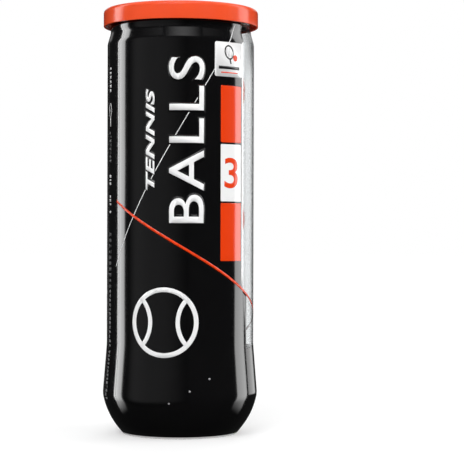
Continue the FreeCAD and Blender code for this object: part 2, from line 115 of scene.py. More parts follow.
class Shop:
    """Adds nodes to one tree."""

    def __init__(self, tree):
        self.tree = tree

    def node(self, kind, settings=None, sockets=None):
        made = self.tree.nodes.new(kind)
        for name, value in (settings or {}).items():
            if name == "stops":
                ramp = made.color_ramp
                while len(ramp.elements) > len(value):
                    ramp.elements.remove(ramp.elements[-1])
                while len(ramp.elements) < len(value):
                    ramp.elements.new(0.5)
                ramp.interpolation = "EASE"
                for stop, (place, colour) in zip(ramp.elements, value):
                    stop.position, stop.color = place, colour
            else:
                setattr(made, name, value)
        for key, value in (sockets or {}).items():
            self.feed(made.inputs[key], value)
        return made

    def feed(self, socket, value):
        if isinstance(value, Wire):
            self.tree.links.new(value.socket, socket)
        else:
            socket.default_value = value

    def out(self, node, key=0):
        return Wire(self, node.outputs[key])

    def maths(self, operation, *values):
        made = self.node("ShaderNodeMath", {"operation": operation}, dict(enumerate(values)))
        return self.out(made)

    def between(self, value, low, high):
        """0 below low and 1 above high, eased."""
        made = self.node(
            "ShaderNodeMapRange", {"interpolation_type": "SMOOTHSTEP"},
            {"Value": value, "From Min": low, "From Max": high},
        )
        return self.out(made, "Result")

    def split(self, vector):
        made = self.node("ShaderNodeSeparateXYZ", None, {0: vector})
        return [self.out(made, axis) for axis in "XYZ"]

    def vector(self, x, y, z):
        return self.out(self.node("ShaderNodeCombineXYZ", None, {0: x, 1: y, 2: z}))

    def places(self):
        return self.out(self.node("GeometryNodeInputPosition"))

    def colours(self, share, first, second):
        made = self.node("ShaderNodeMix", {"data_type": "RGBA"}, {0: share, 6: first, 7: second})
        return self.out(made, 2)


class Finish(Shop):
    """A material, worked out from places on the object in millimetres."""

    def __init__(self, name):
        self.material = bpy.data.materials.new(name)
        self.material.use_nodes = True
        super().__init__(self.material.node_tree)
        self.tree.nodes.clear()
        self.end = self.tree.nodes.new("ShaderNodeOutputMaterial")
        place = self.node("ShaderNodeTexCoord")
        scaled = self.node(
            "ShaderNodeVectorMath", {"operation": "SCALE"}, {0: self.out(place, "Object"), "Scale": 1000.0}
        )
        self.place = self.out(scaled)
        self.x, self.y, self.z = self.split(self.place)

    def noise(self, size, detail=2.0, roughness=0.5, place=None, stretch=None):
        """Noise with lumps of about size millimetres."""
        where = place or self.place
        if stretch:
            pulled = self.node("ShaderNodeVectorMath", {"operation": "MULTIPLY"}, {0: where, 1: stretch})
            where = self.out(pulled)
        made = self.node(
            "ShaderNodeTexNoise", None,
            {"Vector": where, "Scale": 1.0 / size, "Detail": detail, "Roughness": roughness},
        )
        return self.out(made, 0)

    def bump(self, height, depth, strength=1.0):
        made = self.node(
            "ShaderNodeBump", None, {"Height": height, "Distance": depth * MM, "Strength": strength}
        )
        return self.out(made)

    def shader(self, **sockets):
        named = {key.replace("_", " "): value for key, value in sockets.items()}
        return self.out(self.node("ShaderNodeBsdfPrincipled", None, named))

    def done(self, surface):
        self.feed(self.end.inputs["Surface"], surface)
        return self.material


def rgb(red, green, blue):
    """Colour of a print or plastic from its usual 0 to 255 values."""
    return tuple(
        (v / 12.92 if v <= 0.04045 else ((v + 0.055) / 1.055) ** 2.4)
        for v in (red / 255, green / 255, blue / 255)
    ) + (1.0,)


# ---------------------------------------------------------------- finishes
def film_wave(finish):
    """Slow ripple of shrunk film, the same through every ink on it."""
    slow = finish.noise(16.0, 1.0, stretch=(1.0, 1.0, 0.35))
    fine = finish.noise(1.1, 2.0)
    return finish.bump(slow + fine * 0.012, 0.10)


def film_ink(name, colour, worn=None, gloss=0.11):
    finish = Finish(name)
    cloud = finish.noise(9.0, 3.0)
    tint = finish.colours(cloud, colour, worn or tuple(c * 0.93 for c in colour[:3]) + (1.0,))
    rough = gloss + finish.noise(2.2, 3.0) * 0.05
    return finish.done(
        finish.shader(
            Base_Color=tint, Roughness=rough, IOR=1.58, Coat_Weight=0.5, Coat_Roughness=0.06,
            Normal=film_wave(finish),
        )
    )


def clear_plastic(name, tint, gloss, ripple, least, most):
    """Thin clear wall: seen straight through, mirroring more as it turns edge on."""
    finish = Finish(name)
    wave = finish.bump(finish.noise(18.0, 1.0, stretch=(1.0, 1.0, 0.3)), ripple)
    through = finish.out(finish.node("ShaderNodeBsdfTransparent", None, {"Color": tint}))
    mirror = finish.shader(
        Base_Color=(0.9, 0.92, 0.93, 1.0), Roughness=gloss + finish.noise(3.0, 2.0) * 0.03,
        Metallic=1.0, Normal=wave,
    )
    facing_away = finish.out(finish.node("ShaderNodeLayerWeight", None, {0: 0.5}), "Facing")
    edge_on = finish.maths("POWER", facing_away, 5.0)
    share = least + edge_on * (most - least)
    mixed = finish.node("ShaderNodeMixShader", None, {0: share, 1: through, 2: mirror})
    return finish.done(finish.out(mixed))


def cap_plastic():
    finish = Finish("overcap_plastic")
    cloud = finish.noise(14.0, 3.0)
    tint = finish.colours(cloud, rgb(232, 83, 42), rgb(226, 73, 34))
    flow = finish.noise(1.6, 2.0, stretch=(1.0, 1.0, 0.25))
    grain = finish.noise(0.35, 2.0)
    return finish.done(
        finish.shader(
            Base_Color=tint, Roughness=0.13 + finish.noise(4.0, 3.0) * 0.08, IOR=1.45,
            Subsurface_Weight=0.12, Subsurface_Radius=(1.0, 0.25, 0.1), Subsurface_Scale=0.0015,
            Normal=finish.bump(flow * 0.5 + grain * 0.2, 0.02),
        )
    )


def end_metal():
    """Rolled sheet, spun bright: fine rings about the can's axis over straight rolling lines."""
    finish = Finish("end_sheet")
    radius = finish.maths("SQRT", finish.x * finish.x + finish.y * finish.y)
    spun = finish.noise(0.25, 2.0, place=finish.vector(radius, 0.0, finish.z))
    rolled = finish.noise(0.5, 3.0, stretch=(0.04, 1.0, 1.0))
    tint = finish.colours(rolled, (0.80, 0.81, 0.82, 1.0), (0.70, 0.71, 0.73, 1.0))
    return finish.done(
        finish.shader(
            Base_Color=tint, Metallic=1.0, Roughness=0.2 + spun * 0.1 + rolled * 0.06,
            Normal=finish.bump(spun * 0.4 + rolled, 0.006),
        )
    )


def felt(name, colour, shade, tip):
    """Raised felt: short woven lumps under a loose pile."""
    finish = Finish(name)
    clumps = finish.noise(2.6, 4.0, 0.65)
    strands = finish.noise(0.45, 3.0, 0.7)
    tint = finish.colours(finish.between(clumps * 0.6 + strands * 0.4, 0.3, 0.7), shade, colour)
    tint = finish.colours(finish.between(strands, 0.58, 0.8) * 0.5, tint, tip)
    return finish.done(
        finish.shader(
            Base_Color=tint, Roughness=0.92, Sheen_Weight=0.45, Sheen_Roughness=0.5,
            Normal=finish.bump(clumps * 0.6 + strands, 0.55),
        )
    )


def plain_rubber(name, colour, gloss=0.55, lumps=0.03):
    finish = Finish(name)
    cloud = finish.noise(3.0, 4.0)
    tint = finish.colours(cloud, colour, tuple(c * 0.8 for c in colour[:3]) + (1.0,))
    return finish.done(
        finish.shader(
            Base_Color=tint, Roughness=gloss + cloud * 0.15, Normal=finish.bump(finish.noise(0.6, 3.0), lumps)
        )
    )


BLACK_FILM = film_ink("black_film", rgb(10, 10, 11), rgb(14, 14, 15), 0.08)
WHITE_INK = film_ink("white_ink", rgb(238, 238, 238))
ORANGE_INK = film_ink("orange_ink", rgb(228, 60, 5))
GREY_INK = film_ink("grey_ink", rgb(150, 150, 152))
DARK_INK = film_ink("dark_ink", rgb(22, 22, 24))
CLEAR_FILM = clear_plastic("clear_film", (0.99, 0.992, 0.993, 1.0), 0.05, 0.05, 0.035, 0.8)
CLEAR_BODY = clear_plastic("clear_body_plastic", (0.975, 0.98, 0.982, 1.0), 0.04, 0.12, 0.03, 0.7)
CAP_PLASTIC = cap_plastic()
END_METAL = end_metal()
FELTS = {
    "yellow": felt("yellow_felt", rgb(214, 236, 84), rgb(178, 206, 52), rgb(232, 246, 150)),
    "orange": felt("orange_felt", rgb(240, 78, 28), rgb(205, 46, 16), rgb(250, 130, 80)),
}
SEAM_RUBBER = plain_rubber("seam_cement", rgb(222, 221, 214), 0.6, 0.12)
CORE_RUBBER = plain_rubber("core_rubber", rgb(58, 58, 60), 0.6)
COMPOUND = plain_rubber("seam_compound", rgb(150, 152, 156), 0.5)


# ---------------------------------------------------------------- meshes
def add_object(name, mesh):
    made = bpy.data.objects.new(name, mesh)
    scene.collection.objects.link(made)
    return made


def plain_mesh(worker, name):
    """The evaluated shape of an object as a plain mesh object; the worker is removed."""
    bpy.context.view_layer.update()
    shape = bpy.data.meshes.new_from_object(
        worker.evaluated_get(bpy.context.evaluated_depsgraph_get())
    )
    shape.name = name
    bpy.data.objects.remove(worker)
    return add_object(name, shape)


def thickened(made, name, thick, offset=-1):
    """A sheet given its thickness in millimetres, inwards unless offset says otherwise."""
    skin = made.modifiers.new("thickness", "SOLIDIFY")
    skin.thickness, skin.offset = thick * MM, offset
    return plain_mesh(made, name)


def geometry_tree(name, inputs):
    tree = bpy.data.node_groups.new(name, "GeometryNodeTree")
    tree.interface.new_socket("Geometry", in_out="INPUT", socket_type="NodeSocketGeometry")
    for label, kind, value in inputs:
        socket = tree.interface.new_socket(label, in_out="INPUT", socket_type="NodeSocket" + kind)
        if value is not None:
            socket.default_value = value
    tree.interface.new_socket("Geometry", in_out="OUTPUT", socket_type="NodeSocketGeometry")
    shop = Shop(tree)
    entry = shop.node("NodeGroupInput")
    shop.given = {label: shop.out(entry, label) for label in ("Geometry", *(row[0] for row in inputs))}
    shop.end = shop.node("NodeGroupOutput")
    return shop


def finish_tree(shop, geometry):
    """Every tree ends alike: real geometry with its material."""
    real = shop.node("GeometryNodeRealizeInstances", None, {0: geometry})
    dressed = shop.node(
        "GeometryNodeSetMaterial", None,
        {"Geometry": shop.out(real), "Material": shop.given["Material"]},
    )
    shop.feed(shop.end.inputs[0], shop.out(dressed))
    return shop.tree


def through_tree(worker, tree, values, name):
    """Runs a geometry tree on an object and keeps the result as a plain mesh."""
    modifier = worker.modifiers.new(tree.name, "NODES")
    modifier.node_group = tree
    keys = {s.name: s.identifier for s in tree.interface.items_tree if s.in_out == "INPUT"}
    for label, value in values.items():
        modifier[keys[label]] = value
    return plain_mesh(worker, name)


def turning_tree():
    """Turns a profile, drawn in XY as radius and height, about the Z axis."""
    shop = geometry_tree(
        "turned_piece",
        [("Facets", "Int", 192), ("Crease", "Float", 0.5), ("Material", "Material", None)],
    )
    profile = shop.node("GeometryNodeMeshToCurve", None, {0: shop.given["Geometry"]})
    path = shop.node(
        "GeometryNodeCurvePrimitiveCircle", None,
        {"Resolution": shop.given["Facets"], "Radius": 1.0},
    )
    swept = shop.node(
        "GeometryNodeCurveToMesh", None, {0: shop.out(path, "Curve"), 1: shop.out(profile)}
    )
    # The sweep is made about a circle of one metre, so each point comes in by that metre.
    x, y, z = shop.split(shop.places())
    reach = shop.maths("SQRT", x * x + y * y)
    share = (1.0 - reach) / reach
    place = shop.vector(x * share, y * share, z * -1.0)
    moved = shop.node("GeometryNodeSetPosition", None, {"Geometry": shop.out(swept), "Position": place})
    merged = shop.node(
        "GeometryNodeMergeByDistance", None, {"Geometry": shop.out(moved), "Distance": 1e-6}
    )
    fold = shop.node("GeometryNodeInputMeshEdgeAngle")
    soft = shop.node(
        "FunctionNodeCompare", {"operation": "LESS_THAN"},
        {0: shop.out(fold, 0), 1: shop.given["Crease"]},
    )
    smooth_faces = shop.node(
        "GeometryNodeSetShadeSmooth", {"domain": "FACE"}, {"Geometry": shop.out(merged)}
    )
    smooth = shop.node(
        "GeometryNodeSetShadeSmooth", {"domain": "EDGE"},
        {"Geometry": shop.out(smooth_faces), "Shade Smooth": shop.out(soft)},
    )
    return finish_tree(shop, shop.out(smooth))


def rounded(corners, steps=10):
    """Points along straight runs between corners (radius, height[, rounding])."""
    points = []
    for i, corner in enumerate(corners):
        here = np.array(corner[:2], float)
        if len(corner) < 3 or not corner[2]:
            points.append(tuple(here))
            continue
        before = np.array(corners[i - 1][:2], float) - here
        after = np.array(corners[(i + 1) % len(corners)][:2], float) - here
        before /= np.linalg.norm(before)
        after /= np.linalg.norm(after)
        half = math.acos(float(np.clip(before @ after, -1, 1))) / 2
        middle = (before + after) / np.linalg.norm(before + after)
        centre = here + middle * corner[2] / math.sin(half)
        first = here + before * corner[2] / math.tan(half) - centre
        last = here + after * corner[2] / math.tan(half) - centre
        angle = math.atan2(first[1], first[0])
        sweep = math.atan2(last[1], last[0]) - angle
        sweep = (sweep + math.pi) % (2 * math.pi) - math.pi
        for step in range(steps + 1):
            turn = angle + sweep * step / steps
            points.append(
                (centre[0] + corner[2] * math.cos(turn), centre[1] + corner[2] * math.sin(turn))
            )
    return points


TURNING = turning_tree()


def turned(name, points, material, closed=True, facets=192, crease=0.5):
    """A turned piece from profile points (radius, height) in millimetres."""
    mesh = bpy.data.meshes.new(name + "_profile")
    edges = [(i, i + 1) for i in range(len(points) - 1)]
    if closed:
        edges.append((len(points) - 1, 0))
    mesh.from_pydata([((r * MM), (z * MM), 0.0) for r, z in points], edges, [])
    made = through_tree(
        add_object(name + "_profile", mesh), TURNING,
        {"Facets": facets, "Crease": crease, "Material": material}, name,
    )
    outward(made)
    return made


def outward(piece):
    """Faces of a closed shell turned outwards, after its doubles are merged."""
    work = bmesh.new()
    work.from_mesh(piece.data)
    bmesh.ops.remove_doubles(work, verts=work.verts, dist=1e-7)
    bmesh.ops.recalc_face_normals(work, faces=work.faces)
    work.to_mesh(piece.data)
    work.free()


# ---------------------------------------------------------------- prints, drawn flat then wrapped
def wrapping_tree():
    """Wraps a flat print, drawn with X round the can and Y up, on the sleeve's own outline."""
    shop = geometry_tree(
        "wrapped_print",
        [
            ("Sleeve", "Object", None), ("Unroll Radius", "Float", SLEEVE_RADIUS * MM),
            ("Proud", "Float", 0.00003), ("Material", "Material", None),
        ],
    )
    along, up, _ = shop.split(shop.places())
    turn = along / shop.given["Unroll Radius"]
    sleeve = shop.node("GeometryNodeObjectInfo", None, {"Object": shop.given["Sleeve"]})
    # The ray comes in a little beside the axis, clear of the sleeve's own line of corners.
    start = shop.vector(0.0002, -0.08, up)
    hit = shop.node(
        "GeometryNodeRaycast", None,
        {
            "Target Geometry": shop.out(sleeve, "Geometry"), "Source Position": start,
            "Ray Direction": (0.0, 1.0, 0.0), "Ray Length": 0.08,
        },
    )
    _, found, _ = shop.split(shop.out(hit, "Hit Position"))
    radius = shop.given["Proud"] - found
    place = shop.vector(radius * shop.maths("SINE", turn), radius * shop.maths("COSINE", turn) * -1.0, up)
    moved = shop.node(
        "GeometryNodeSetPosition", None, {"Geometry": shop.given["Geometry"], "Position": place}
    )
    smooth = shop.node("GeometryNodeSetShadeSmooth", None, {"Geometry": shop.out(moved)})
    return finish_tree(shop, shop.out(smooth))


WRAPPING = wrapping_tree()
SLICE = 0.8  # width of the upright strips a print is cut into before it bends
CURVED_HEIGHTS = sorted(
    {round(z, 3) for r, z in rounded([(FOOT_OUT, 0.0), *SIDE_OUTLINE, (NECK_RADIUS, SLEEVE_TOP)], 8)}
)


class Flat:
    """A flat print under construction, in millimetres round the sleeve and up it."""

    def __init__(self):
        self.work = bmesh.new()

    def outline(self, points, holes=()):
        edges = []
        for loop in (points, *holes):
            corners = [self.work.verts.new((x * MM, y * MM, 0)) for x, y in loop]
            edges += [self.work.edges.new((corners[i - 1], corners[i])) for i in range(len(corners))]
        bmesh.ops.triangle_fill(self.work, use_beauty=True, edges=edges, normal=(0, 0, 1))
        return self

    def box(self, left, right, low, high, corner=0.0):
        if not corner:
            return self.outline([(left, low), (right, low), (right, high), (left, high)])
        points = []
        for x, y, start in (
            (right - corner, high - corner, 0), (left + corner, high - corner, 90),
            (left + corner, low + corner, 180), (right - corner, low + corner, 270),
        ):
            for step in range(7):
                turn = math.radians(start + 15 * step)
                points.append((x + corner * math.cos(turn), y + corner * math.sin(turn)))
        return self.outline(points)

    def line(self, points, width, closed=False):
        """A stroke of even width along points."""
        places = np.array(points, float)
        if closed:
            run = np.roll(places, -1, 0) - np.roll(places, 1, 0)
        else:
            run = np.gradient(places, axis=0)
        run /= np.linalg.norm(run, axis=1)[:, None]
        side = np.stack([-run[:, 1], run[:, 0]], 1) * width / 2
        rows = [
            [self.work.verts.new((p[0] * MM, p[1] * MM, 0)) for p in (a, b)]
            for a, b in zip(places + side, places - side)
        ]
        pairs = list(zip(rows, rows[1:])) + ([(rows[-1], rows[0])] if closed else [])
        for first, second in pairs:
            self.work.faces.new((first[1], second[1], second[0], first[0]))
        return self

    def disc(self, x, y, radius, steps):
        turns = [2 * math.pi * i / steps for i in range(steps)]
        return self.outline([(x + radius * math.cos(t), y + radius * math.sin(t)) for t in turns])

    def take(self, mesh, place):
        """Adds another flat mesh, moved by a matrix."""
        extra = mesh.copy()
        extra.transform(place)
        self.work.from_mesh(extra)
        bpy.data.meshes.remove(extra)
        return self

    def sliced(self):
        """Cut into upright strips, and across where the sleeve curves, so that it bends evenly."""
        work = self.work
        xs = [v.co.x for v in work.verts]
        ys = [v.co.y for v in work.verts]
        first = math.ceil(min(xs) / MM / SLICE)
        cuts = [((n * SLICE * MM, 0, 0), (1, 0, 0)) for n in range(first, int(max(xs) / MM / SLICE) + 1)]
        cuts += [
            ((0, z * MM, 0), (0, 1, 0)) for z in CURVED_HEIGHTS if min(ys) < z * MM - 1e-5 < max(ys) - 2e-5
        ]
        for place, normal in cuts:
            bmesh.ops.bisect_plane(
                work, geom=work.verts[:] + work.edges[:] + work.faces[:], dist=1e-8,
                plane_co=place, plane_no=normal,
            )
        bmesh.ops.dissolve_degenerate(work, edges=work.edges[:], dist=1e-7)
        return work

    def wrapped(self, name, ink, proud, shift=0.0, thick=0.02):
        """The finished print on the sleeve: proud of it, thick, and moved round it by shift."""
        mesh = bpy.data.meshes.new(name + "_flat")
        work = self.sliced()
        work.normal_update()
        for face in work.faces:
            if face.normal.z < 0:
                face.normal_flip()
        work.to_mesh(mesh)
        if shift:
            mesh.transform(Matrix.Translation((shift * MM, 0, 0)))
        made = through_tree(
            add_object(name + "_flat", mesh), WRAPPING,
            {"Sleeve": SLEEVE, "Proud": proud * MM, "Material": ink}, name,
        )
        made = thickened(made, name, thick)
        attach(made, "can")


def lettering(words, weight=0.03, spacing=1.0, slant=0.0):
    """Words as a flat mesh, its box moved to the origin; gives the mesh, its width and height."""
    text = bpy.data.curves.new("words", "FONT")
    text.body = words
    text.offset, text.space_character, text.shear = weight, spacing, slant
    text.resolution_u = 8
    mesh = plain_mesh(add_object("words", text), "words").data
    bpy.data.objects.remove(bpy.data.objects["words"])
    places = np.array([v.co for v in mesh.vertices])
    low, high = places.min(0), places.max(0)
    mesh.transform(Matrix.Translation(-Vector(low)))
    return mesh, high[0] - low[0], high[1] - low[1]


def reading_up(words, left, right, low, high, **style):
    """A word read from bottom to top, its letters' tops to the left, filling a box."""
    mesh, width, height = lettering(words, **style)
    scale = Matrix.Diagonal(((high - low) / width * MM, (right - left) / height * MM, 1, 1))
    turn = Matrix.Rotation(math.pi / 2, 4, "Z")
    return mesh, Matrix.Translation((right * MM, low * MM, 0)) @ turn @ scale


def upright(words, left, right, low, high, **style):
    mesh, width, height = lettering(words, **style)
    scale = Matrix.Diagonal(((right - left) / width * MM, (high - low) / height * MM, 1, 1))
    return mesh, Matrix.Translation((left * MM, low * MM, 0)) @ scale


# ---------------------------------------------------------------- sleeve and clear body
sleeve_gap = SLEEVE_RADIUS - BODY_RADIUS
foot_radius = FOOT_OUT + SLEEVE_FOOT * (KNUCKLE[0] - FOOT_OUT) / KNUCKLE[1]
outer_path = rounded([(foot_radius, SLEEVE_FOOT), *SIDE_OUTLINE, (NECK_RADIUS, SLEEVE_TOP)], 8)
SLEEVE = turned(
    "sleeve_film", [(r + sleeve_gap - 0.05, z) for r, z in outer_path], CLEAR_FILM, closed=False
)
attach(SLEEVE, "can")
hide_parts("label_sleeve")

inner_neck = NECK_RADIUS - 0.7
clear_body = turned(
    "clear_body",
    rounded(
        [
            (0.0, 8.5), (9.0, 8.5, 5.2), (22.7, 5.2, 5.2), (FOOT_IN, 0.0), (FOOT_OUT, 0.0),
            *SIDE_OUTLINE,
            (NECK_RADIUS, 212.19), (36.14, 212.19), (36.14, 211.09), (36.74, 211.09), (36.74, 212.79),
            (inner_neck, 212.79), (inner_neck, NECK_HEIGHT, 8.0), (36.4, 196.7, 8.0), (36.4, 45.0, 60.0),
            (38.4, 19.9, 12.0), (35.4, 9.7, 36.0), (28.35, 1.0), (27.65, 1.0), (23.3, 6.2, 5.2),
            (9.0, 9.5, 5.2), (0.0, 9.5),
        ],
        8,
    ),
    CLEAR_BODY, closed=False,
)
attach(clear_body, "can")
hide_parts("pet_can")

HALF_TURN = math.pi * SLEEVE_RADIUS


def stripe_height(along):
    """Height of the orange stripe, straight on the unrolled sleeve."""
    return 95.6 - 0.59 * along


# The black ink covers the sleeve but for a clear window at its right-hand side.
window_left = 37.9
narrow_left, narrow_right = 41.8, 79.5
step_left, step_right = stripe_height(window_left), stripe_height(narrow_left)
window = [(narrow_left, 44.0), (narrow_right - 1.5, 44.0), (narrow_right, 45.5)]
window += [(narrow_right, 206.0), (window_left, 206.0), (window_left, step_left), (narrow_left, step_right)]
film_start = -50.0
film_end = film_start + 2 * HALF_TURN
sheet = [(film_start, 0.95), (film_end, 0.95), (film_end, SLEEVE_TOP - 0.05), (film_start, SLEEVE_TOP - 0.05)]
Flat().outline(sheet, [window]).wrapped("black_print", BLACK_FILM, proud=0.02, thick=0.012)
Flat().box(film_start - 2.5, film_start + 2.5, 1.1, SLEEVE_TOP - 0.2).wrapped(
    "sleeve_overlap", BLACK_FILM, proud=0.04, thick=0.02
)


BIG_WORD = (-4.6, 12.9, 106.2, 187.4)
SMALL_WORD = (-16.5, -11.8, 122.2, 171.6)


def grown(box, edge):
    """A box of left, right, low and high, larger by edge all round."""
    left, right, low, high = box
    return left - edge, right + edge, low - edge, high + edge


def facing(side, shift):
    """One of the sleeve's two facings: big word, number panel, badge, stripes and ball emblem."""
    for name, letters, box, weight, edge, edge_weight, style in (
        ("_big_word", "BALLS", BIG_WORD, 0.004, 0.55, 0.032, {"spacing": 1.12}),
        ("_small_word", "TENNIS", SMALL_WORD, 0.03, 0.5, 0.085, {"spacing": 1.08, "slant": 0.25}),
    ):
        word, place = reading_up(letters, *box, weight=weight, **style)
        Flat().take(word, place).wrapped(side + name, WHITE_INK, 0.06, shift)
        word, place = reading_up(letters, *grown(box, edge), weight=edge_weight, **style)
        Flat().take(word, place).wrapped(side + name + "_edge", BLACK_FILM, 0.045, shift)
    bars = Flat().box(21.9, 36.0, 145.9, 173.8, 0.5).box(21.9, 36.0, 87.6, 116.1, 0.5)
    bars.wrapped(side + "_orange_bars", ORANGE_INK, 0.05, shift)
    Flat().box(21.9, 36.0, 116.9, 145.0, 0.5).wrapped(side + "_number_block", WHITE_INK, 0.05, shift)
    number, place = upright("3", 24.1, 33.3, 123.4, 138.4, weight=0.012)
    Flat().take(number, place).wrapped(side + "_number", ORANGE_INK, 0.07, shift)
    # Badge: a racket and a ball over two lines of small print drawn as bars.
    Flat().box(18.4, 36.9, 178.2, 195.2, 1.0).wrapped(side + "_badge", WHITE_INK, 0.06, shift)
    turns = [2 * math.pi * n / 40 for n in range(40)]
    head = [(27.0 + 2.6 * math.cos(t) - 0.5 * math.sin(t), 190.2 + 3.2 * math.sin(t)) for t in turns]
    racket = Flat().line(head, 0.75, closed=True).line([(27.4, 187.2), (28.2, 184.6)], 0.9)
    for n in range(4):
        racket.line([(25.4 + n * 1.0, 187.9), (25.0 + n * 1.0, 192.4)], 0.16)
    racket.line([(20.6, 182.6), (34.4, 182.6)], 1.5)
    racket.wrapped(side + "_badge_racket", DARK_INK, 0.075, shift)
    small = Flat().disc(31.2, 187.6, 1.6, 28).line([(22.0, 180.2), (33.0, 180.2)], 0.55)
    small.wrapped(side + "_badge_ball", ORANGE_INK, 0.075, shift)
    # Stripes.
    reach = np.linspace(-36.5, 79.9 if side == "front" else 36.0, 120)
    Flat().line([(s, stripe_height(s)) for s in reach], 1.25).wrapped(
        side + "_orange_stripe", ORANGE_INK, 0.055, shift
    )
    start, middle, finish = Vector((33.0, 204.6)), Vector((-5.2, 146.0)), Vector((-42.5, 74.5))
    sweep = [
        start * (1 - t) ** 2 + middle * 2 * t * (1 - t) + finish * t * t
        for t in np.linspace(0, 0.93, 90)
    ]
    Flat().line([tuple(p) for p in sweep], 0.36).wrapped(side + "_thin_stripe", WHITE_INK, 0.035, shift)
    # Ball emblem: a ring and the two curves of a ball's seam.
    emblem = Flat()
    rim = [2 * math.pi * n / 96 for n in range(96)]
    emblem.line([(-6.9 + 16.0 * math.cos(t), 57.7 + 16.0 * math.sin(t)) for t in rim], 2.3, closed=True)
    for way in (-1, 1):
        bend = [math.radians(d) for d in np.linspace(-51, 51, 40)]
        emblem.line(
            [(-6.9 + way * (20.5 - 13.6 * math.cos(t)), 57.7 + 15.2 * math.sin(t)) for t in bend], 2.1
        )
    emblem.wrapped(side + "_ball_emblem", WHITE_INK, 0.05, shift)
    dots = Flat()
    for n in range(3):
        dots.disc(-4.0 + 9.7 * n, 18.5 + 5.85 * n, 0.5, 16)
    dots.wrapped(side + "_vent_dots", GREY_INK, 0.05, shift)


facing("front", 0.0)
facing("back", HALF_TURN)
edge_line = Flat().line([(window_left - 0.65, z) for z in np.linspace(step_left + 0.5, 196.0, 20)], 1.2)
edge_line.wrapped("window_edge_line", WHITE_INK, 0.04)


def small_print_tree():
    """Lines of small print drawn as bars of random length, row after row, read upwards."""
    shop = geometry_tree(
        "small_print",
        [
            ("Rows", "Int", 3), ("Row Pitch", "Float", 0.0018), ("Length", "Float", 0.1),
            ("Word Pitch", "Float", 0.003), ("Bar Width", "Float", 0.0005), ("Seed", "Int", 1),
            ("Share", "Float", 0.84), ("Material", "Material", None),
        ],
    )
    given = shop.given
    words = shop.maths("CEIL", given["Length"] / given["Word Pitch"])
    grid = shop.node(
        "GeometryNodeMeshGrid", None,
        {
            "Size X": given["Row Pitch"] * (given["Rows"] - 1.0), "Size Y": given["Length"],
            "Vertices X": given["Rows"], "Vertices Y": words,
        },
    )
    chance = shop.node("FunctionNodeRandomValue", {"data_type": "BOOLEAN"},
                       {"Probability": given["Share"], "Seed": given["Seed"]})
    length = shop.node("FunctionNodeRandomValue", None,
                       {2: 0.45, 3: 0.86, "Seed": given["Seed"] + 7.0})
    bar = shop.node(
        "GeometryNodeMeshGrid", None,
        {"Size X": given["Bar Width"], "Size Y": given["Word Pitch"], "Vertices X": 2, "Vertices Y": 2},
    )
    scale = shop.vector(1.0, shop.out(length, 1), 1.0)
    placed = shop.node(
        "GeometryNodeInstanceOnPoints", None,
        {
            "Points": shop.out(grid), "Selection": shop.out(chance, 3), "Instance": shop.out(bar),
            "Scale": scale,
        },
    )
    return finish_tree(shop, shop.out(placed))


SMALL_PRINT = small_print_tree()


def small_print(rows, row_pitch, length, word_pitch, bar_width, seed, share=0.84):
    """Small print as a flat mesh centred on the origin."""
    worker = add_object("small_print_worker", bpy.data.meshes.new("empty"))
    made = through_tree(
        worker, SMALL_PRINT,
        {
            "Rows": rows, "Row Pitch": row_pitch * MM, "Length": length * MM, "Word Pitch": word_pitch * MM,
            "Bar Width": bar_width * MM, "Seed": seed, "Share": share, "Material": GREY_INK,
        },
        "small_print_flat",
    )
    mesh = made.data
    bpy.data.objects.remove(made)
    return mesh


def at(left, up, turn=0.0):
    return Matrix.Translation((left * MM, up * MM, 0)) @ Matrix.Rotation(math.radians(turn), 4, "Z")


# Print up the left side. Each block: rows, row pitch, length, word pitch, width of stroke, seed,
# share of the words kept, and the height of its middle.
SIDE = -44.8
words, lines = Flat(), Flat()
for *layout, up in (
    (1, 1.0, 13.2, 1.9, 2.3, 3, 0.95, 176.9), (1, 1.0, 3.6, 1.6, 2.4, 5, 1.0, 127.7),
    (1, 1.0, 7.8, 1.8, 2.2, 9, 0.8, 115.6),
):
    words.take(small_print(*layout), at(SIDE, up))
turns = [2 * math.pi * n / 32 for n in range(32)]
words.line([(SIDE + 1.5 * math.cos(t), 162.6 + 3.4 * math.sin(t)) for t in turns], 0.6, closed=True)
words.line([(SIDE, 159.2), (SIDE + 0.2, 154.6)], 0.9).wrapped("side_words", WHITE_INK, 0.05)
for *layout, up in (
    (2, 1.3, 14.0, 1.9, 0.7, 8, 0.9, 144.3), (3, 1.2, 26.0, 2.6, 0.35, 13, 0.9, 87.5),
    (2, 1.3, 27.0, 2.1, 0.75, 17, 0.9, 58.5), (2, 1.2, 23.0, 1.9, 0.7, 23, 0.95, 30.2),
):
    lines.take(small_print(*layout), at(SIDE, up))
lines.wrapped("side_small_print", GREY_INK, 0.05)
panel = Flat()
for n, (rows, up, seed) in enumerate(((9, 172.0, 21), (7, 141.0, 34), (11, 104.0, 55))):
    panel.take(small_print(rows, 1.9, 22.0, 3.2, 0.62, seed), at(-66.0, up, 90.0))
panel.wrapped("information_lines", GREY_INK, 0.05)
Flat().box(-79.0, -53.0, 52.0, 72.0, 0.8).wrapped("code_block", WHITE_INK, 0.05)
code = Flat()
edge, gaps = -77.0, [2, 1, 3, 1, 1, 2, 2, 1, 4, 1, 2, 1, 1, 3, 2, 1, 1, 2, 3, 1, 2, 2, 1, 1]
for n, gap in enumerate(gaps * 2):
    wide = (1 + (n * 7 + 3) % 3) * 0.22
    if edge + wide > -55.0:
        break
    code.box(edge, edge + wide, 54.5, 70.0)
    edge += wide + gap * 0.2
code.wrapped("code_bars", DARK_INK, 0.07)
for n in range(3):
    panel = Flat().box(-78.0 + n * 9.0, -70.5 + n * 9.0, 78.0, 85.5, 1.2)
    panel.wrapped(f"information_tile_{n}", (ORANGE_INK, WHITE_INK, GREY_INK)[n], 0.05)

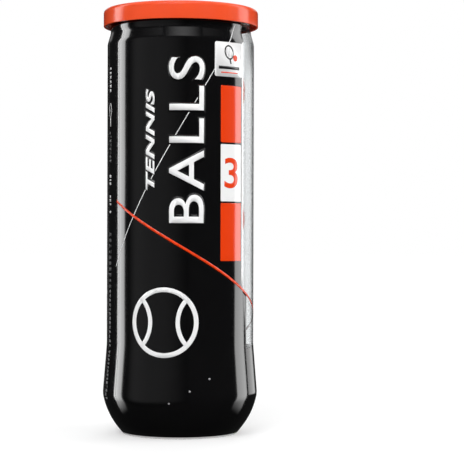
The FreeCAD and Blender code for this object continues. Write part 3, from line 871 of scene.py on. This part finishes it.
# ---------------------------------------------------------------- metal end and ring pull
end_ring = turned(
    "end_ring_spun",
    rounded(
        [
            (33.25, 207.2), (33.5, 207.2, 0.1), (33.5, 206.0, 0.12), (34.4, 206.0, 0.2), (34.6, 212.85, 0.3),
            (36.8, 212.85, 0.3), (36.8, 210.35, 0.3), (35.67, 210.35, 0.1), (35.67, 212.13, 0.1),
            (35.42, 212.13, 0.1), (35.42, 210.1, 0.4), (37.05, 210.1, 0.7), (37.05, 213.1, 0.75),
            (34.35, 213.1, 0.7), (34.15, 206.25, 0.25), (33.75, 206.25, 0.25), (33.75, PANEL_TOP, 0.2),
            (33.25, PANEL_TOP, 0.08),
        ],
        8,
    ),
    END_METAL, facets=256,
)
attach(end_ring, "can")
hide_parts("end_ring")

# The tear panel: its score edge, the pressed stiffening ring, and a well for the finger.
upper = rounded(
    [
        (33.2, PANEL_TOP), (32.4, PANEL_TOP, 0.3), (32.2, 207.33, 0.3), (32.0, PANEL_TOP, 0.3),
        (19.9, PANEL_TOP, 0.7), (19.3, 206.95, 0.6), (17.7, 206.95, 0.6), (17.1, PANEL_TOP, 0.7),
        (0.0, PANEL_TOP),
    ],
    6,
)
plain = [(r, PANEL_TOP) for r in np.arange(16.0, 0.5, -0.8)]
upper = upper[:-1] + plain + [(0.0, PANEL_TOP)]
under = [(r, z - SHEET) for r, z in reversed(upper)]
tear_panel = turned("tear_panel_pressed", under + upper, END_METAL, closed=False, facets=256)
WELL_PLACE, WELL_RADIUS, WELL_DEPTH = 3.0, 9.0, 0.45
for corner in tear_panel.data.vertices:
    away = math.hypot(corner.co.x - WELL_PLACE * MM, corner.co.y) / (WELL_RADIUS * MM)
    if away < 1:
        corner.co.z -= WELL_DEPTH * MM * (1 - away * away) ** 2
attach(tear_panel, "torn_panel")
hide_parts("tear_panel")

rivet = turned(
    "rivet_headed",
    rounded(
        [
            (0.0, 207.3), (1.9, 207.3, 0.1), (1.9, 207.85, 0.05), (2.8, 207.85, 0.12), (2.8, 208.2, 0.16),
            (1.7, 208.2, 0.2), (1.3, 208.02, 0.2), (0.0, 208.02),
        ],
        6,
    ),
    END_METAL, closed=False, facets=64,
)
rivet.data.transform(Matrix.Translation((RIVET_PLACE * MM, 0, 0)))
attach(rivet, "torn_panel")


def arc_points(centre, radius, first, last, steps):
    return [
        (centre + radius * math.cos(a), radius * math.sin(a)) for a in np.linspace(first, last, steps)
    ]


def pull_outline(inset):
    """Hull of the ring and the nose, drawn in by inset."""
    lean = math.asin((RING_RADIUS - NOSE_RADIUS) / (NOSE_PLACE - RING_PLACE))
    side = math.pi / 2 - lean
    ring = arc_points(RING_PLACE, RING_RADIUS - inset, side, 2 * math.pi - side, 56)
    return ring + arc_points(NOSE_PLACE, NOSE_RADIUS - inset, -side, side, 28)


def curled_edge(name, points, radius, height):
    """A rolled edge: a round bar along a closed line."""
    curve = bpy.data.curves.new(name, "CURVE")
    curve.dimensions, curve.bevel_depth, curve.bevel_resolution = "3D", radius * MM, 4
    line = curve.splines.new("POLY")
    line.points.add(len(points) - 1)
    line.use_cyclic_u = True
    for point, (x, y) in zip(line.points, points):
        point.co = (x * MM, y * MM, height * MM, 1)
    curve.materials.append(END_METAL)
    return plain_mesh(add_object(name, curve), name)


def joined(name, parts):
    """Several plain meshes as one piece, faces outwards."""
    work = bmesh.new()
    for part in parts:
        work.from_mesh(part.data)
    bmesh.ops.recalc_face_normals(work, faces=work.faces)
    mesh = bpy.data.meshes.new(name)
    work.to_mesh(mesh)
    mesh.materials.append(parts[0].data.materials[0])
    for part in parts:
        bpy.data.objects.remove(part)
    return add_object(name, mesh)


CURL = TAB_THICKNESS / 2
tab_middle = TAB_UNDER + CURL
hole_radius = RING_RADIUS - RING_WIDTH
ROUND_HOLE = (0, 2 * math.pi * 71 / 72, 72)
hole = arc_points(RING_PLACE, hole_radius + 0.3, *ROUND_HOLE)
slot_x, slot_y = 3.9, 3.4
tongue_window = [
    (RIVET_PLACE - slot_x, -slot_y), (RIVET_PLACE + slot_x, -slot_y),
    (RIVET_PLACE + slot_x, slot_y), (RIVET_PLACE - slot_x, slot_y),
]
plate = Flat().outline(pull_outline(0.3), [hole, tongue_window])
plate_mesh = bpy.data.meshes.new("ring_pull_plate")
bmesh.ops.recalc_face_normals(plate.work, faces=plate.work.faces)
plate.work.to_mesh(plate_mesh)
plate_mesh.transform(Matrix.Translation((0, 0, (tab_middle - 0.15) * MM)))
plate_mesh.materials.append(END_METAL)
plate_object = add_object("ring_pull_plate", plate_mesh)
plate_object = thickened(plate_object, "ring_pull_plate", 0.3, 0)
rims = [
    curled_edge("ring_pull_outside", pull_outline(CURL), CURL, tab_middle),
    curled_edge("ring_pull_hole", arc_points(RING_PLACE, hole_radius + CURL, *ROUND_HOLE), CURL, tab_middle),
]
for side in (-1, 1):
    bar = [(RIVET_PLACE - 3.4 + 6.8 * t, side * (4.35 - 0.5 * t)) for t in np.linspace(0, 1, 8)]
    back = [(x, y + side * 0.02) for x, y in reversed(bar)]
    rims.append(curled_edge("ring_pull_rib", bar + back, 0.22, tab_middle + 0.12))
ring_pull = joined("ring_pull_curled", [plate_object, *rims])
for face in ring_pull.data.polygons:
    face.use_smooth = True
ring_pull.data.set_sharp_from_angle(angle=0.7)
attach(ring_pull, "ring_pull")
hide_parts("pull_tab")

# ---------------------------------------------------------------- overcap
overcap = turned(
    "overcap_moulded",
    rounded(
        [
            (0.0, 212.2), (32.6, 212.2, 0.5), (33.9, 212.7, 0.3), (33.9, 213.15, 0.2), (38.05, 213.15, 0.5),
            (38.05, 209.7, 0.4), (37.15, 209.15, 0.3), (37.15, 208.05, 0.3), (38.05, 207.5, 0.4),
            (38.05, CAP_FOOT, 0.2), (CAP_RADIUS, CAP_FOOT, 0.35), (CAP_RADIUS, CAP_TOP, 2.2),
            (32.8, CAP_TOP, 0.6), (32.2, 213.3, 0.5),
            (26.4, 213.3, 0.2), (26.2, 213.18, 0.2), (25.8, 213.18, 0.2), (25.6, 213.3, 0.2),
            (4.2, 213.3, 0.2), (3.8, 213.0, 0.2), (0.9, 213.0, 0.1), (0.7, 213.2, 0.1), (0.0, 213.2),
        ],
        8,
    ),
    CAP_PLASTIC, closed=False, facets=256,
)
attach(overcap, "lid")
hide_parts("overcap")


# ---------------------------------------------------------------- balls
def pile_tree():
    """Felt: the surface in soft lumps, with a loose pile of short tapering hairs."""
    shop = geometry_tree(
        "felt_pile",
        [
            ("Ball Centre", "Vector", None), ("Bare Radius", "Float", (BALL_RADIUS - 1.6) * MM),
            ("Lump Size", "Float", 0.0022), ("Lump Height", "Float", 0.0003),
            ("Hairs Per Area", "Float", 2.2e6), ("Hair Length", "Float", 0.0011),
            ("Hair Radius", "Float", 0.00005), ("Seed", "Int", 1),
            ("Material", "Material", None),
        ],
    )
    given = shop.given
    lumps = shop.node(
        "ShaderNodeTexNoise", None,
        {
            "Vector": shop.places(), "Scale": 1.0 / given["Lump Size"], "Detail": 3.0, "Roughness": 0.6,
        },
    )
    normal = shop.out(shop.node("GeometryNodeInputNormal"))
    rise = (shop.out(lumps, 0) - 0.62) * given["Lump Height"]
    shift = shop.node("ShaderNodeVectorMath", {"operation": "SCALE"}, {0: normal, "Scale": rise})
    surface = shop.node(
        "GeometryNodeSetPosition", None, {"Geometry": given["Geometry"], "Offset": shop.out(shift)}
    )
    smooth = shop.node("GeometryNodeSetShadeSmooth", None, {"Geometry": shop.out(surface)})
    away = shop.node(
        "ShaderNodeVectorMath", {"operation": "DISTANCE"},
        {0: shop.places(), 1: given["Ball Centre"]},
    )
    outer = shop.maths("GREATER_THAN", shop.out(away, "Value"), given["Bare Radius"])
    points = shop.node(
        "GeometryNodeDistributePointsOnFaces", None,
        {
            "Mesh": shop.out(smooth), "Selection": outer, "Density": given["Hairs Per Area"],
            "Seed": given["Seed"],
        },
    )
    hair = shop.node(
        "GeometryNodeMeshCone", {"fill_type": "NGON"},
        {
            "Vertices": 3, "Side Segments": 1, "Fill Segments": 1, "Radius Top": 0.0,
            "Radius Bottom": given["Hair Radius"], "Depth": given["Hair Length"],
        },
    )
    lean = shop.node(
        "FunctionNodeRandomValue", {"data_type": "FLOAT_VECTOR"},
        {0: (-1.45, -1.45, -3.1), 1: (1.45, 1.45, 3.1), "Seed": given["Seed"] + 3.0},
    )
    length = shop.node("FunctionNodeRandomValue", None, {2: 0.5, 3: 1.25, "Seed": given["Seed"] + 5.0})
    leaning = shop.node(
        "FunctionNodeRotateEuler", {"rotation_type": "EULER", "space": "LOCAL"},
        {"Rotation": shop.out(points, "Rotation"), "Rotate By": shop.out(lean, 0)},
    )
    placed = shop.node(
        "GeometryNodeInstanceOnPoints", None,
        {
            "Points": shop.out(points, "Points"), "Instance": shop.out(hair, "Mesh"),
            "Rotation": shop.out(leaning), "Scale": shop.out(length, 1),
        },
    )
    both = shop.node("GeometryNodeJoinGeometry")
    for part in (smooth, placed):
        shop.tree.links.new(part.outputs[0], both.inputs[0])
    return finish_tree(shop, shop.out(both))


PILE = pile_tree()
QUARTER = math.pi / 4


def seam_distance(direction):
    """Distance along the ball from the seam's middle, in mm: positive on the panel over the +Z pole."""
    if direction.z >= 0:
        return BALL_RADIUS * (math.acos(min(1.0, abs(direction.y))) - QUARTER)
    return BALL_RADIUS * (QUARTER - math.acos(min(1.0, abs(direction.x))))


def ball_skin(low, high, fineness):
    """The part of a unit sphere whose seam distance lies between low and high, cut cleanly."""
    work = bmesh.new()
    bmesh.ops.create_icosphere(work, subdivisions=fineness, radius=1)
    bmesh.ops.bisect_plane(
        work, geom=work.verts[:] + work.edges[:] + work.faces[:], dist=1e-7,
        plane_co=(0, 0, 0), plane_no=(0, 0, 1),
    )
    for limit in (low, high):
        if abs(limit) > 100:
            continue
        for upper in (True, False):
            turn = QUARTER + limit / BALL_RADIUS * (1 if upper else -1)
            axis = Vector((0, 1, 0) if upper else (1, 0, 0))
            for side in (-1, 1):
                faces = [f for f in work.faces if (f.calc_center_median().z > 0) == upper]
                parts = set(faces)
                for face in faces:
                    parts.update(face.edges)
                    parts.update(face.verts)
                bmesh.ops.bisect_plane(
                    work, geom=list(parts), plane_co=axis * side * math.cos(turn), plane_no=axis, dist=1e-7
                )
    outside = [f for f in work.faces if not low < seam_distance(f.calc_center_median().normalized()) < high]
    bmesh.ops.delete(work, geom=outside, context="FACES")
    bmesh.ops.remove_doubles(work, verts=work.verts[:], dist=3e-4)
    bmesh.ops.dissolve_degenerate(work, edges=work.edges[:], dist=1e-5)
    for corner in work.verts:
        corner.co.normalize()
    return work


def panel_of_felt(fineness=7):
    """One dog-bone panel of felt round the +Z pole, rolled down at its edge; millimetres."""
    work = ball_skin(SEAM_HALF, 1000.0, fineness)
    for corner in work.verts:
        inside = (seam_distance(corner.co) - SEAM_HALF) / 1.1
        corner.co *= BALL_RADIUS - 0.1 - 0.6 * math.exp(-max(0.0, inside) ** 1.5)
    return work


def strip_of_cement(fineness=7):
    """The seam between the panels, crowned and sunk below the felt; millimetres."""
    work = ball_skin(-SEAM_HALF - 0.5, SEAM_HALF + 0.5, fineness)
    for corner in work.verts:
        across = seam_distance(corner.co) / (SEAM_HALF + 0.5)
        corner.co *= BALL_RADIUS - SEAM_RECESS + 0.05 - 0.25 * across * across
    return work


OTHER_PANEL = Matrix.Rotation(math.pi, 4, Vector((1, 1, 0)).normalized())


def ball_piece(work, ball, name, turn, material, thickness):
    mesh = bpy.data.meshes.new(name)
    work.normal_update()
    work.to_mesh(mesh)
    yaw, pitch, roll = (math.radians(angle) for angle in BALL_TURNS[ball])
    place = Matrix.Translation((0, 0, BALL_CENTRES[ball] * MM)) @ Matrix.Rotation(yaw, 4, "Z")
    place = place @ Matrix.Rotation(pitch, 4, "Y") @ Matrix.Rotation(roll, 4, "X")
    mesh.transform(place @ turn @ Matrix.Scale(MM, 4))
    mesh.materials.append(material)
    for face in mesh.polygons:
        face.use_smooth = True
    return thickened(add_object(name, mesh), name, thickness)


fineness = 7
felt_shape, seam_shape = panel_of_felt(fineness), strip_of_cement(fineness)
for number, ball in enumerate(BALL_CENTRES):
    body = "ball_" + ball
    for order, tone in enumerate(("yellow", "orange")):
        turn = OTHER_PANEL if order else Matrix.Identity(4)
        name = f"ball_{ball}_felt_{tone}_pile"
        sheet = ball_piece(felt_shape, ball, name, turn, FELTS[tone], 2.9)
        centre = (0.0, 0.0, BALL_CENTRES[ball] * MM)
        wanted = {"Ball Centre": centre, "Seed": 11 + 10 * number + order, "Material": FELTS[tone]}
        felt_piece = through_tree(sheet, PILE, wanted, name)
        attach(felt_piece, body)
        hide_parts(f"ball_{ball}_felt_{tone}")
    name = f"ball_{ball}_seam_cement"
    seam = ball_piece(seam_shape, ball, name, Matrix.Identity(4), SEAM_RUBBER, 1.2)
    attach(seam, body)
    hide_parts(f"ball_{ball}_seam")
    for half in ("lower", "upper"):
        node = bpy.data.objects[f"ball_{ball}_core_{half}"]
        for place in node.material_slots:
            place.material = CORE_RUBBER

for node, finish in (("rivet_tongue", END_METAL), ("sealing_compound", COMPOUND)):
    for place in bpy.data.objects[node].material_slots:
        place.material = finish


# ---------------------------------------------------------------- floor, lights and camera
def hidden_from(made, *kinds):
    for kind in kinds:
        setattr(made, "visible_" + kind, False)


def stage_floor():
    """A pale floor that runs out into white; it is seen and takes shadows, but lights nothing. Its glow is
    painted light: some of it everywhere, lightening the shadows near the can, and all of it further out.
    """
    finish = Finish("pale_floor")
    tint = finish.colours(finish.noise(40.0, 2.0), (0.93, 0.93, 0.93, 1.0), (0.92, 0.92, 0.92, 1.0))
    reach = finish.maths("SQRT", finish.x * finish.x + finish.y * finish.y)
    matt = finish.shader(Base_Color=tint, Roughness=0.9, Specular_IOR_Level=0.1)
    # painted light: the floor glows, 0.42 of it near the can, which lightens the shadow there, and fully from
    # 300 mm out
    glow = finish.node("ShaderNodeEmission", None, {"Strength": 1.02})
    share = 0.42 + finish.between(reach, 60.0, 300.0) * 0.58
    mixed = finish.node("ShaderNodeMixShader", None, {0: share, 1: matt, 2: finish.out(glow)})
    surface = finish.done(finish.out(mixed))
    mesh = bpy.data.meshes.new("floor")
    mesh.from_pydata([(-4, -3, 0), (4, -3, 0), (4, 6, 0), (-4, 6, 0)], [], [(0, 1, 2, 3)])
    mesh.materials.append(surface)
    made = add_object("floor", mesh)
    hidden_from(made, "glossy", "diffuse")


def softbox(name, place, width, height, power):
    """A light for the colours alone; what the gloss mirrors are the panels."""
    light = bpy.data.lights.new(name, "AREA")
    light.shape, light.size, light.size_y, light.energy = "RECTANGLE", width, height, power
    made = add_object(name, light)
    made.location = place
    made.rotation_euler = (AIM - Vector(place)).to_track_quat("-Z", "Y").to_euler()
    hidden_from(made, "camera", "glossy")


def mirror_panel(name, azimuths, heights, distance, stops, ends):
    """A glowing panel that only gloss sees. stops gives its light across, from the first azimuth;
    ends gives how much of its height fades at its foot and head."""
    first, last = (math.radians(angle) for angle in azimuths)
    corners = [
        (distance * math.sin(turn), -distance * math.cos(turn), height)
        for turn, height in (
            (first, heights[0]), (last, heights[0]), (last, heights[1]), (first, heights[1]),
        )
    ]
    mesh = bpy.data.meshes.new(name)
    mesh.from_pydata(corners, [], [(0, 1, 2, 3)])
    uv = mesh.uv_layers.new(name="UVMap")
    for loop, place in zip(uv.data, ((0, 0), (1, 0), (1, 1), (0, 1))):
        loop.uv = place
    finish = Finish(name)
    across, up, _ = finish.split(finish.out(finish.node("ShaderNodeTexCoord"), "UV"))
    foot, head = ends
    profile = finish.node(
        "ShaderNodeValToRGB",
        {"stops": [(place, (level, level, level, 1.0)) for place, level in stops]},
        {0: across},
    )
    fade = finish.between(up, 0.0, foot) * (1.0 - finish.between(up, 1.0 - head, 1.0))
    tint = finish.colours(fade, (0.0, 0.0, 0.0, 1.0), finish.out(profile))
    glow = finish.node("ShaderNodeEmission", None, {"Color": tint, "Strength": BRIGHTEST})
    mesh.materials.append(finish.done(finish.out(glow)))
    made = add_object(name, mesh)
    hidden_from(made, "camera", "diffuse", "shadow", "transmission")


def studio_world():
    """White to the eye, soft grey to the colours, and to the gloss dark but for the ceiling."""
    world = bpy.data.worlds.new("studio")
    world.use_nodes = True
    shop = Shop(world.node_tree)
    shop.tree.nodes.clear()
    rays = shop.node("ShaderNodeLightPath")
    _, ahead, up = shop.split(shop.out(shop.node("ShaderNodeTexCoord"), "Generated"))
    behind = shop.between(ahead, 0.75, 0.95) * shop.between(up, 0.16, 0.3)
    ceiling = shop.between(up, 0.5, 0.85) * 0.75 + behind * 1.1 + 0.015
    seen = shop.node("ShaderNodeBackground", None, {1: 1.0})
    fill = shop.node("ShaderNodeBackground", None, {1: 0.6})
    dark, bright = (0.0, 0.0, 0.0, 1.0), (1.0, 1.0, 1.0, 1.0)
    mirrored = shop.node("ShaderNodeBackground", None, {0: shop.colours(ceiling * 0.5, dark, bright), 1: 2.0})
    for part in (seen, fill):
        part.inputs[0].default_value = bright
    light = shop.out(fill)
    for kind, background in (("Is Glossy Ray", mirrored), ("Is Camera Ray", seen)):
        sockets = {0: shop.out(rays, kind), 1: light, 2: shop.out(background)}
        light = shop.out(shop.node("ShaderNodeMixShader", None, sockets))
    end = shop.node("ShaderNodeOutputWorld")
    shop.feed(end.inputs["Surface"], light)
    scene.world = world


AIM = Vector((0.0, 0.0, 0.107))
BRIGHTEST = 8.0
stage_floor()
studio_world()
scene.view_settings.view_transform = "Standard"
# Each panel: name, azimuths, heights, distance, light across it, and how much of it fades at foot and head.
for layout in (
    ("left_strip", (-111.6, -92.0), (-0.62, 1.1), 1.0,
     [(0.0, 0.85), (0.09, 0.85), (0.12, 0.36), (0.18, 0.36), (0.24, 0.62), (0.8, 0.5), (1.0, 0.03)],
     (0.32, 0.05)),
    ("right_strip", (93.6, 119.0), (-0.62, 1.1), 1.0,
     [(0.0, 0.0), (0.1, 0.36), (0.8, 0.36), (1.0, 0.3)], (0.32, 0.05)),
    ("back_right_panel", (124.0, 156.0), (-0.1, 0.31), 1.0,
     [(0.0, 0.16), (0.7, 0.16), (1.0, 0.02)], (0.1, 0.1)),
    ("ceiling_panel", (-50.0, 50.0), (0.9, 1.6), 0.8,
     [(0.0, 0.0), (0.3, 0.6), (0.7, 0.6), (1.0, 0.0)], (0.2, 0.2)),
    ("high_front_panel", (-30.0, 40.0), (0.62, 1.05), 1.0,
     [(0.0, 0.0), (0.5, 0.1), (1.0, 0.0)], (0.3, 0.3)),
    ("left_glow", (-86.0, 14.0), (-0.6, 0.75), 1.4,
     [(0.0, 0.0), (0.25, 0.02), (0.5, 0.015), (1.0, 0.0)], (0.3, 0.2)),
):
    mirror_panel(*layout)
softbox("key_softbox", (-0.35, -1.2, 1.0), 0.9, 0.7, 14.5)
softbox("fill_softbox", (0.8, -1.0, 0.6), 0.6, 0.6, 2.5)
softbox("window_softbox", (1.3, 0.1, 0.55), 0.8, 0.8, 8.0)
softbox("back_softbox", (0.1, 1.1, 1.2), 1.0, 0.8, 8.0)

camera_data = bpy.data.cameras.new("camera")
camera_data.sensor_width, camera_data.lens = 36.0, 124.94
camera = add_object("camera", camera_data)
camera.location = (0.02626, -0.8197, 0.1019)
camera.rotation_euler = (math.pi / 2, -0.0028, 0.0)
camera_data.clip_start, camera_data.clip_end = 0.01, 50.0
scene.camera = camera
